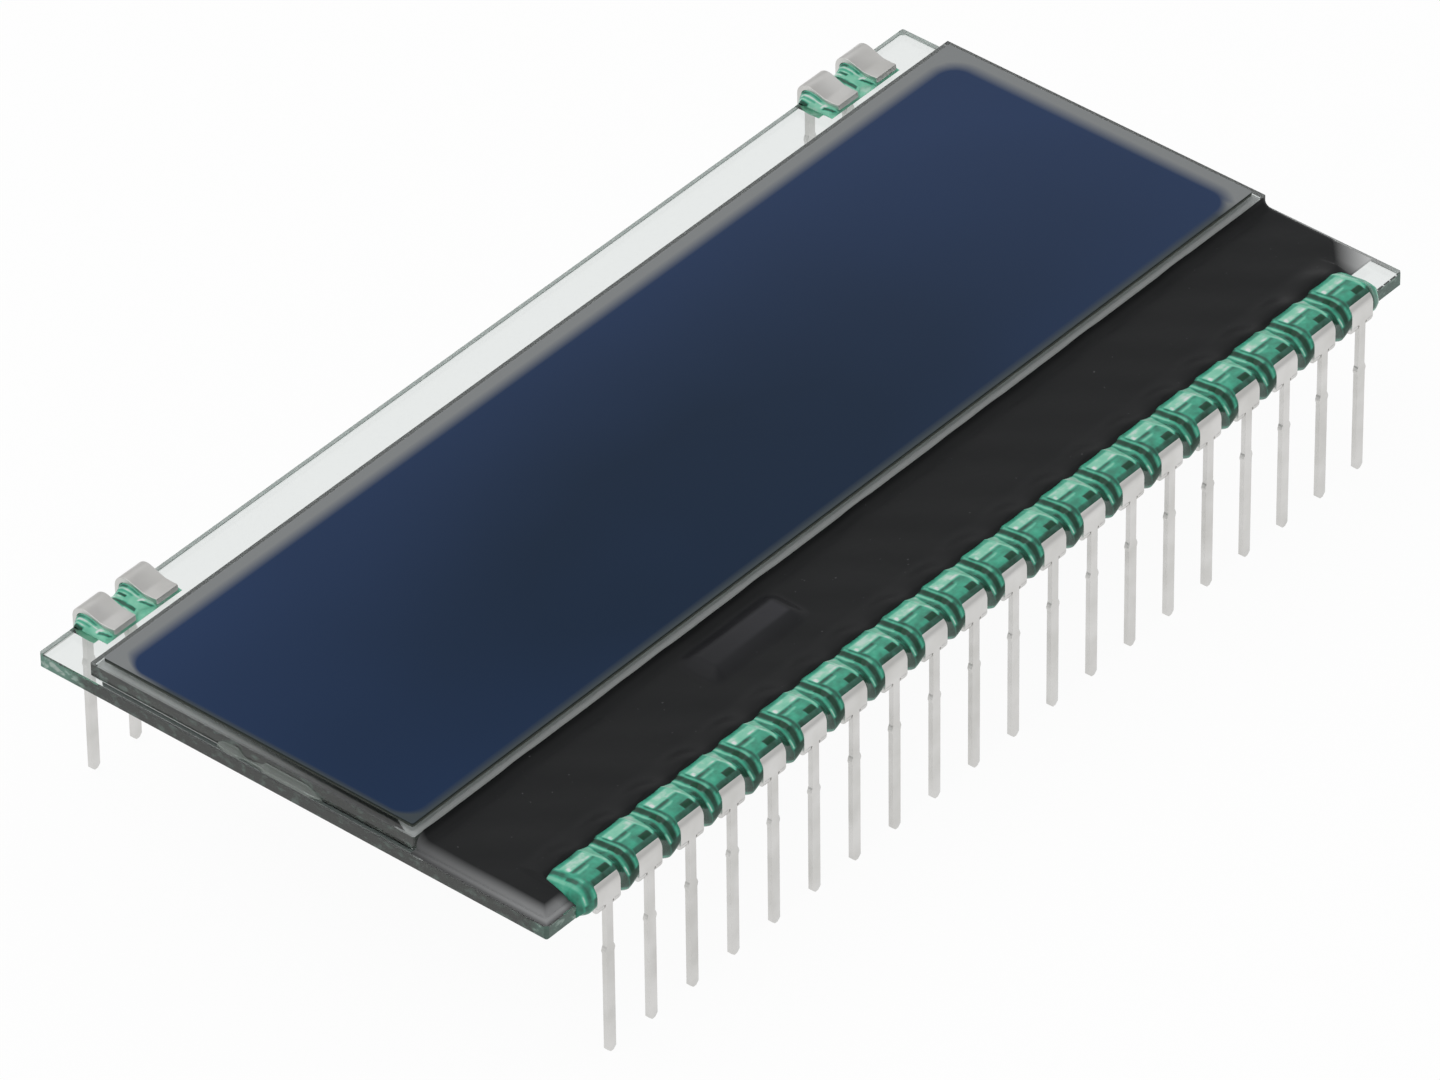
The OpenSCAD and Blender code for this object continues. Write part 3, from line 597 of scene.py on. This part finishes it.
# Clip terminals, each one strip of metal bent over the edge of the glass
clip = {"strip": 0.25, "play": 0.2, "archHeight": 0.68, "archRadius": 0.35, "slope": 18, "bend": 0.4,
        "pad": 0.38, "dimple": 0.15, "dimpleRadius": 0.25, "rise": 8, "toe": 0.22, "head": 1.4,
        "toeWidth": 1.3, "neck": 0.42, "neckLength": 2.3, "lead": 0.5, "tip": 0.15, "stub": 0.05,
        "stubHeight": 0.35, "jawDrop": 0.29, "jawRadius": 0.18, "jawSlope": 7, "jawPad": 0.3,
        "jawWidth": 1.1, "slit": 0.08, "soften": 0.03}
stripY = -clip["play"] - clip["strip"] / 2


def bentLine(start, heading, moves):
    # Centre line of a bent strip: straight runs joined by arcs. Heading 0 is up, 90 is inwards over the
    # glass. Gives length along the line, y, z and heading for closely spaced stations.
    y, z = start
    h = math.radians(heading)
    stations = [np.array([[y, z, h]])]
    for run, radius, turn in moves:
        t = np.linspace(0, run, 6)[1:]
        stations.append(np.stack([y + t * math.sin(h), z + t * math.cos(h), np.full(5, h)], -1))
        y, z = y + run * math.sin(h), z + run * math.cos(h)
        if turn:
            side = math.copysign(1, turn)
            a = h + np.linspace(0, math.radians(turn), 25)[1:]
            ys = y + side * radius * (math.cos(h) - np.cos(a))
            zs = z - side * radius * (math.sin(h) - np.sin(a))
            stations.append(np.stack([ys, zs, a], -1))
            y, z, h = ys[-1], zs[-1], a[-1]
    line = np.concatenate(stations)
    along = np.concatenate([[0], np.cumsum(np.hypot(*np.diff(line[:, :2], axis=0).T))])
    return along, line


def stripAlong(along, line, at, left, right, rounding):
    # A rectangle with rounded corners, from left to right across X and one strip thick, carried along the
    # centre line at the lengths in at
    y, z, h = (np.interp(at, along, line[:, k]) for k in range(3))
    turn = np.linspace(0, np.pi / 2, 5)
    corners = ((1, 1, 0), (-1, 1, 1), (-1, -1, 2), (1, -1, 3))
    cos = np.concatenate([np.cos(turn + k * np.pi / 2) for _, _, k in corners])
    sin = np.concatenate([np.sin(turn + k * np.pi / 2) for _, _, k in corners])
    sideX = np.repeat([sx for sx, _, _ in corners], 5)
    sideN = np.repeat([sn for _, sn, _ in corners], 5)
    middle, half = (left + right)[:, None] / 2, (right - left)[:, None] / 2
    x = middle + sideX * (half - rounding) + rounding * cos
    n = sideN * (clip["strip"] / 2 - rounding) + rounding * sin
    return np.stack([x, y[:, None] - n * np.cos(h)[:, None], z[:, None] + n * np.sin(h)[:, None]], -1)


def widthSteps(pairs, length):
    # Stations that keep each change of width crisp, and the half width at each
    at, half = np.array(pairs, float).T
    stations = np.unique(np.concatenate([at, np.linspace(0, length, 130)]))
    return stations, np.interp(stations, at, half)


def terminalGrids():
    # The main strip from tip to toe, the two lower fingers beside its neck, and the contact dimple, for a
    # terminal at the middle of the front edge
    mid = clip["archRadius"] + clip["strip"] / 2
    bend = clip["bend"] + clip["strip"] / 2
    archZ = deck + clip["archHeight"] - clip["strip"] - clip["archRadius"]
    s = math.radians(clip["slope"])
    slopeTop = archZ + mid * math.cos(s)
    slopeFoot = deck + clip["dimple"] + clip["strip"] / 2 + bend * (1 - math.cos(s))
    along, line = bentLine((stripY, 0), 0, [
        (archZ, mid, 90 + clip["slope"]),
        ((slopeTop - slopeFoot) / math.sin(s), bend, -clip["slope"]),
        (clip["pad"], bend, -clip["rise"]), (clip["toe"], 0, 0)])
    length = along[-1]
    jawZ = carrier["under"] - clip["jawDrop"] + clip["strip"] + clip["jawRadius"]
    stepZ = jawZ - clip["neckLength"]
    lead, neck, head, toe = (clip[k] / 2 for k in ("lead", "neck", "head", "toeWidth"))
    shoulder = 0.012
    at, half = widthSteps([
        (0, lead - clip["tip"]), (clip["tip"], lead), (stepZ - clip["stubHeight"], lead),
        (stepZ - clip["stubHeight"] + 0.15, lead + clip["stub"]), (stepZ - 0.15, lead + clip["stub"]),
        (stepZ, lead), (stepZ + 0.08, neck), (jawZ, neck), (jawZ + shoulder, head),
        (archZ + 0.4, head), (length - 0.04, toe), (length, toe - 0.04)], length)
    grids = [stripAlong(along, line, at, -half, half, clip["soften"])]
    jawMid = clip["jawRadius"] + clip["strip"] / 2
    j = math.radians(clip["jawSlope"])
    jawTop = carrier["under"] - clip["strip"] / 2 - bend * (1 - math.cos(j))
    run = (jawTop - jawZ + jawMid * math.cos(j)) / math.sin(j)
    along, line = bentLine((stripY, jawZ + 0.02), 180, [
        (0.02, jawMid, -90 - clip["jawSlope"]), (run, bend, clip["jawSlope"]),
        (clip["jawPad"], bend, clip["rise"]), (clip["toe"], 0, 0)])
    inner = clip["neck"] / 2 + clip["slit"]
    finger = clip["jawWidth"] / 2
    at, half = widthSteps([
        (0, head), (0.02 + jawMid * 0.3, head), (0.02 + jawMid * 1.6, finger),
        (along[-1], finger)], along[-1])
    still = np.full(len(at), inner)
    grids.append(stripAlong(along, line, at, still, half, clip["soften"]))
    grids.append(stripAlong(along, line, at, -half, -still, clip["soften"]))
    ring = np.linspace(0, 2 * np.pi, 25)[:-1]
    share = np.array([0.0, 0.5, 0.7, 1.0])
    padY = boxOf("pin_40")[1][1] + carrier["y"] - clip["toe"] - 0.08 - clip["pad"] / 2
    drop = deck + clip["dimple"] * np.array([0.0, 0.05, 0.25, 1.2])
    dimple = np.stack([clip["dimpleRadius"] * share[:, None] * np.cos(ring),
                       padY + clip["dimpleRadius"] * share[:, None] * np.sin(ring),
                       np.broadcast_to(drop[:, None], (4, 24))], -1)
    grids.append(dimple[1:])
    return grids


terminal = terminalGrids()
for node in sorted(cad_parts):
    if not node.startswith("pin_"):
        continue
    lowest, highest = boxOf(node)
    turned = -1 if lowest[1] > 0 else 1
    shift = np.array([(lowest[0] + highest[0]) / 2, -carrier["y"] * turned, 0])
    grids = [g * np.array([turned, turned, 1]) + shift for g in terminal]
    makePiece("terminal_" + node[4:], grids, tinMaterial, [node])
print("terminals made")

# Resin beads
# Sections in millimetres: y inwards from the edge of the glass, z over its top. "over" runs past a clip and
# "web" midway between two, each from the foot on the glass round its edge to the lowest point, and "under"
# goes on from there. A patch is a shade, low for painted shade and high for painted highlights and
# reflections, and where it lies: around the section from 0 to 1, with its left and right bounds in
# millimetres from the middle of the clip at the start and at the end.
frontBead = {"ends": (0.8, 0.8), "sink": (1.6, 1.2), "shade": 0.5, "endShade": 0.35,
             "over": [(1.99, 0.0), (1.98, 0.16), (1.9, 0.34), (1.75, 0.48), (1.5, 0.56), (1.15, 0.62),
                      (0.85, 0.69), (0.55, 0.76), (0.3, 0.785), (0.1, 0.78), (-0.06, 0.735),
                      (-0.16, 0.655), (-0.22, 0.575), (-0.27, 0.48), (-0.33, 0.36), (-0.4, 0.2),
                      (-0.43, 0.0)],
             "overLow": [(-0.43, -0.25), (-0.37, -0.45), (-0.25, -0.58), (0.0, -0.64)],
             "web": [(1.95, 0.0), (1.93, 0.18), (1.7, 0.33), (1.5, 0.37), (1.14, 0.41), (0.8, 0.49),
                     (0.56, 0.52), (0.35, 0.49), (0.17, 0.41), (0.0, 0.29), (-0.16, 0.13), (-0.28, -0.03),
                     (-0.35, -0.17), (-0.39, -0.3)],
             "webLow": [(-0.41, -0.5), (-0.4, -0.65), (-0.34, -0.8), (-0.2, -0.92), (0.05, -0.95)],
             "under": [(0.5, -0.9), (0.95, -0.82), (1.1, -0.7)],
             "patches": [
                 (0.42, 0.0, 0.72, 1.82, 1.0, 0.72, 1.82), (0.28, 0.42, 0.98, 1.3, 0.7, 0.72, 1.2),
                 (0.2, 0.55, 0.62, 1.15, 0.84, 0.66, 1.27), (0.85, 0.12, 0.66, 1.24, 0.57, 0.54, 0.6),
                 (0.8, 0.04, -1.27, -1.1, 0.36, -1.25, -1.14), (0.6, 0.36, -1.27, -1.12, 0.6, -1.27, -1.16),
                 (0.15, 0.08, -1.04, -0.86, 0.8, -1.1, -0.9), (0.0, 0.33, -1.12, -0.94, 0.47, -1.14, -0.9),
                 (0.68, 0.14, -0.84, -0.74, 0.52, -0.92, -0.82),
                 (0.62, 0.58, -0.86, -0.76, 0.76, -0.84, -0.76), (0.3, 0.2, -0.79, -0.72, 0.62, -0.8, -0.72),
                 (0.85, 0.19, -0.72, 0.64, 0.32, -0.72, 0.64), (1.0, 0.25, -0.7, -0.5, 0.31, -0.74, -0.6),
                 (0.95, 0.28, 0.15, 0.55, 0.305, 0.1, 0.5), (0.3, 0.325, -0.72, 0.1, 0.365, -0.72, 0.0),
                 (0.42, 0.33, 0.1, 0.6, 0.36, 0.0, 0.58), (0.76, 0.385, -0.7, 0.1, 0.415, -0.7, -0.1),
                 (0.03, 0.49, 0.0, 0.52, 0.56, 0.0, 0.52), (0.27, 0.56, -0.7, 0.62, 0.64, -0.7, 0.62),
                 (1.0, 0.6, -1.28, -1.19, 0.71, -1.26, -1.18), (0.2, 0.72, -1.27, -0.7, 0.84, -1.27, -0.7)]}
rearBead = {"ends": (0.16, 0.42), "sink": (1.6, 1.6), "shade": 0.82, "endShade": 0.0,
            "over": [(1.84, 0.0), (1.82, 0.1), (1.7, 0.17), (1.5, 0.2), (1.2, 0.22), (0.9, 0.3), (0.6, 0.42),
                     (0.3, 0.46), (0.05, 0.42), (-0.15, 0.25), (-0.25, 0.0)],
            "overLow": [(-0.27, -0.4), (-0.25, -0.7), (-0.1, -0.88), (0.1, -0.92)],
            "web": [(1.5, 0.0), (1.42, 0.1), (1.2, 0.18), (0.9, 0.22), (0.5, 0.24), (0.2, 0.2), (0.0, 0.1),
                    (-0.12, -0.05)],
            "webLow": [(-0.18, -0.3), (-0.2, -0.55), (-0.1, -0.75), (0.1, -0.82)],
            "under": [(0.5, -0.84), (0.9, -0.8), (1.1, -0.7)],
            "patches": [
                (0.4, 0.3, 0.71, 0.8, 0.95, 0.71, 0.82), (1.0, 0.25, 0.82, 0.88, 0.7, 0.84, 0.9),
                (0.45, 0.35, 0.91, 0.98, 0.9, 0.93, 1.0), (0.95, 0.4, 1.0, 1.05, 0.8, 1.02, 1.07),
                (1.0, 0.18, 0.74, 1.0, 0.24, 0.74, 1.0), (0.5, 0.3, -1.2, -0.72, 0.4, -1.2, -0.72),
                (0.95, 0.45, -1.0, -0.9, 0.8, -1.0, -0.9), (0.5, 0.66, -1.2, 1.2, 0.74, -1.2, 1.2),
                (0.28, 0.1, -1.2, -0.98, 0.55, -1.08, -0.84), (0.22, 0.42, 1.07, 1.2, 0.62, 1.04, 1.15),
                (0.32, 0.04, 0.72, 0.86, 0.2, 0.88, 1.04), (1.0, 0.08, -0.9, -0.84, 0.45, -0.8, -0.75),
                (1.0, 0.5, 1.2, 1.25, 0.7, 1.16, 1.21), (0.3, 0.5, 0.72, 0.8, 0.64, 0.74, 0.84)]}


def paintShade(bead, across, around):
    # Shade = the bead's own, moved to each patch's shade inside its soft bounds; across counts round from
    # one clip to the next
    shade = np.full(across.shape, bead["shade"])
    for value, start, left0, right0, stop, left1, right1 in bead["patches"]:
        t = (around - start) / (stop - start)
        left, right = left0 + (left1 - left0) * t, right0 + (right1 - right0) * t
        off = np.abs((across - (left + right) / 2 + pitch / 2) % pitch - pitch / 2)
        mask = smoothStep((right - left) / 2 - off, -0.025, 0.035)
        mask = mask * smoothStep(around, start - 0.012, start + 0.012)
        mask = mask * smoothStep(-around, -stop - 0.012, -stop + 0.012)
        shade = shade + (value - shade) * mask
    return shade


def alongPoints(points, count, passes=3):
    # Evenly spaced points on a polyline, each then averaged with its two neighbours
    points = np.array(points, float)
    step = np.concatenate([[0], np.cumsum(np.hypot(*np.diff(points, axis=0).T))])
    at = np.linspace(0, step[-1], count)
    fine = np.stack([np.interp(at, step, points[:, k]) for k in (0, 1)], -1)
    for _ in range(passes):
        fine[1:-1] = (fine[:-2] + 2 * fine[1:-1] + fine[2:]) / 4
    return fine


def beadGrid(bead, centres):
    # Point at (x, v) = web section + (over section - web section) * (1 - u) ** sink, where u runs from 0 at
    # the side of a clip to 1 in the middle of the gap, and the sink differs left and right of a clip. At the
    # two ends the section shrinks on to the glass along a quarter ellipse. The ring closes along the glass,
    # just under its skin. Gives the points and their shades.
    upper, lower, extra = 57, 19, 7
    count = upper + lower
    foot = bead["over"][0][0]
    below = carrier["under"] - deck
    wall = [(foot, -contact), (contact, -contact), (contact, below + contact), (1.1, below + contact)]
    sections = []
    for kind in ("over", "web"):
        line, turn = bead[kind], bead[kind + "Low"]
        sections.append(np.concatenate([
            alongPoints(line, upper), alongPoints([line[-1]] + turn, lower + 1, 1)[1:],
            alongPoints([turn[-1]] + bead["under"], extra + 1, 1)[1:]]))
    over, web = sections
    flat = alongPoints(wall, count + extra, 0)
    over[[0, -1]], web[[0, -1]] = flat[[0, -1]], flat[[0, -1]]
    half = clip["head"] / 2
    ease = np.linspace(0, 1, 13)[1:]
    gapSide = half + (pitch / 2 - half) * ease ** 1.3
    offsets = np.concatenate([-gapSide[::-1], np.linspace(-half, half, 22), gapSide])
    first, last = centres[0] - half, centres[-1] + half
    reach = np.cos(np.linspace(0, np.pi / 2, 14))
    x = np.add.outer(np.array(centres), offsets).ravel()
    x = np.concatenate([first - bead["ends"][0] * reach, x[(x > first) & (x < last)],
                        last + bead["ends"][1] * reach])
    x = np.unique(np.round(x, 5))
    nearest = np.array(centres)[np.abs(x[:, None] - np.array(centres)[None, :]).argmin(1)]
    u = np.clip((np.abs(x - nearest) - half) / (pitch / 2 - half), 0, 1)
    rise = (1 - u) ** np.where(x < nearest, *bead["sink"])
    beyond = np.clip(np.maximum((first - x) / bead["ends"][0], (x - last) / bead["ends"][1]), 0, 1)
    rise = np.where(beyond > 0, 1 - 0.4 * smoothStep(beyond, 0, 0.5), rise)
    rows = web[None] + (over - web)[None] * rise[:, None, None]
    shrink = np.clip(np.sqrt(1 - beyond ** 2), 0.02, 1)[:, None, None]
    rows = flat[None] + (rows - flat[None]) * shrink
    ring = np.concatenate([rows, np.broadcast_to(np.array(wall[::-1])[1:-1], (len(x), 2, 2))], 1)
    around = np.interp(np.arange(ring.shape[1]), [0, upper - 1, count - 1], [0, 0.75, 1.0])
    across = (x - nearest)[:, None] * np.sign(centres[-1] - centres[0] + 1)
    shade = paintShade(bead, *np.broadcast_arrays(across, around[None]))
    shade = shade + (0.8 - shade) * bead["endShade"] * smoothStep(beyond, 0.0, 0.25)[:, None]
    grid = np.concatenate([np.broadcast_to(x[:, None, None], ring.shape[:2] + (1,)),
                           ring[:, :, :1] - carrier["y"], ring[:, :, 1:] + deck], -1)
    return grid, shade


def clipCentres(side):
    boxes = [boxOf(node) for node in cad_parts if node.startswith("pin_")]
    return sorted((low[0] + high[0]) / 2 for low, high in boxes if (low[1] > 0) == (side > 0))


grid, shade = beadGrid(frontBead, clipCentres(-1))
makePiece("frontBead", [grid], resinMaterial, ["front_adhesive"], 60, shade)
for node, name in (("rear_adhesive_left", "rearBeadLeft"), ("rear_adhesive_right", "rearBeadRight")):
    lowest, highest = boxOf(node)
    near = sorted(-c for c in clipCentres(1) if lowest[0] < c < highest[0])
    grid, shade = beadGrid(rearBead, near)
    makePiece(name, [grid * np.array([-1, -1, 1])], resinMaterial, [node], 60, shade)
print("resin beads made")

# Port plug: lumps are middle and half width along Y, and height as a share of the plug's
plug = {"lumps": ((3.4, 0.75, 1.0), (1.2, 0.25, 0.35), (0.1, 1.55, 0.85)), "base": 0.25}


def plugGrid():
    # Quarter-round fillet on the end step whose radius swells at each lump along Y
    lowest, highest = boxOf("end_seal")
    y = np.linspace(lowest[1], highest[1], 90)
    size = sum(h * np.exp(-((y - c) / w) ** 4) for c, w, h in plug["lumps"]) + plug["base"]
    ends = 1 - ((y - y.mean()) / (y.max() - y.mean())) ** 8
    size = np.clip(size, 0, 1) * np.sqrt(np.clip(ends, 0.0004, 1))
    x0 = -front["x"]
    a = np.linspace(0, np.pi / 2, 16)
    arcX = x0 - (x0 - lowest[0]) * size[:, None] * np.cos(a)
    arcZ = deck + (highest[2] - deck) * size[:, None] * np.sin(a)
    x = np.concatenate([arcX, np.full((len(y), 1), x0 + 0.012)], 1)
    z = np.concatenate([arcZ, np.full((len(y), 1), deck - 0.004)], 1)
    z[:, 0] = deck - 0.004
    return np.stack([x, np.broadcast_to(y[:, None], x.shape), z], -1)


makePiece("portPlug", [plugGrid()], portMaterial, ["end_seal"], 70)
print("port plug made")

# Floor, light and camera. The tent is its brightness at the sine of each height over the horizon: a bright
# band half way up, softer overhead
stage = {"floor": "#FAFAFA", "fibre": "#F1F1F0", "fibreMm": 0.6, "reach": 1.5, "glow": 1.0,
         "glowShare": 0.955, "lampAt": (-0.15, 0.15, 0.6), "lampSize": 0.5, "lampPower": 0.95,
         "tent": ((0.0, 0.62), (0.25, 0.5), (0.5, 0.85), (0.75, 0.85), (0.92, 0.3))}


def makeFloor():
    # White card that still takes the object's shadow where the camera sees its glow
    mesh = bpy.data.meshes.new("floor")
    edge = stage["reach"]
    corners = [(-edge, -edge, 0), (edge, -edge, 0), (edge, edge, 0), (-edge, edge, 0)]
    mesh.from_pydata(corners, [], [(0, 1, 2, 3)])
    floor = bpy.data.objects.new("floor", mesh)
    bpy.context.scene.collection.objects.link(floor)
    material, tree, output, place = newMaterial("whiteCardFloor")
    path = addNode(tree, "LightPath").node.outputs
    seen = path["Is Camera Ray"]
    for ray in ("Is Glossy Ray", "Is Transmission Ray"):
        seen = addNode(tree, "Math", {"operation": "MAXIMUM", 0: seen, 1: path[ray]})
    fibre = addNode(tree, "TexNoise", {
        "Vector": place, "Scale": 1 / (stage["fibreMm"] * mm), "Detail": 3.0, "Roughness": 0.55})
    colour = addNode(tree, "Mix", {"data_type": "RGBA", 0: fibre, 6: stage["floor"], 7: stage["fibre"]}, 2)
    card = addNode(tree, "BsdfDiffuse", {"Color": colour})
    glow = addNode(tree, "Emission", {"Color": (1, 1, 1, 1), "Strength": stage["glow"]})
    share = addNode(tree, "Math", {"operation": "MULTIPLY", 0: seen, 1: stage["glowShare"]})
    mix = addNode(tree, "MixShader", {0: share, 1: card, 2: glow})
    tree.links.new(mix, output.inputs["Surface"])
    mesh.materials.append(material)


def makeWorld():
    world = bpy.data.worlds.new("lightTent")
    world.use_nodes = True
    tree = world.node_tree
    tree.nodes.clear()
    direction = addNode(tree, "TexCoord", [], "Generated")
    height = addNode(tree, "SeparateXYZ", {"Vector": direction}, "Z")
    level = addNode(tree, "ValToRGB", {"Fac": height, "stops": stage["tent"]})
    background = addNode(tree, "Background", {"Color": level, "Strength": 1.0})
    output = addNode(tree, "OutputWorld")
    tree.links.new(background, output.inputs["Surface"])
    bpy.context.scene.world = world


def makeLamp():
    # One square softbox that faces the object
    lamp = bpy.data.lights.new("softbox", "AREA")
    lamp.size = stage["lampSize"]
    lamp.energy = stage["lampPower"]
    holder = bpy.data.objects.new("softbox", lamp)
    bpy.context.scene.collection.objects.link(holder)
    holder.location = stage["lampAt"]
    holder.rotation_euler = Vector(stage["lampAt"]).to_track_quat("Z", "Y").to_euler()


# Where the camera stands in millimetres, its turn in degrees, and its lens on a 36 mm sensor
view = {"eye": (-317.530, -270.3745, 336.383), "turn": (51.44187, 0.55062, -49.95014), "lens": 323.824,
        "sensor": 36.0}


def makeCamera():
    camera = bpy.data.cameras.new("camera")
    camera.lens = view["lens"]
    camera.sensor_width = view["sensor"]
    camera.clip_start = 0.01
    camera.clip_end = 10.0
    holder = bpy.data.objects.new("camera", camera)
    bpy.context.scene.collection.objects.link(holder)
    holder.location = [c * mm for c in view["eye"]]
    holder.rotation_euler = [math.radians(a) for a in view["turn"]]
    bpy.context.scene.camera = holder


makeFloor()
makeWorld()
makeLamp()
makeCamera()
bpy.context.scene.view_settings.view_transform = "Standard"
print("floor, light and camera set")
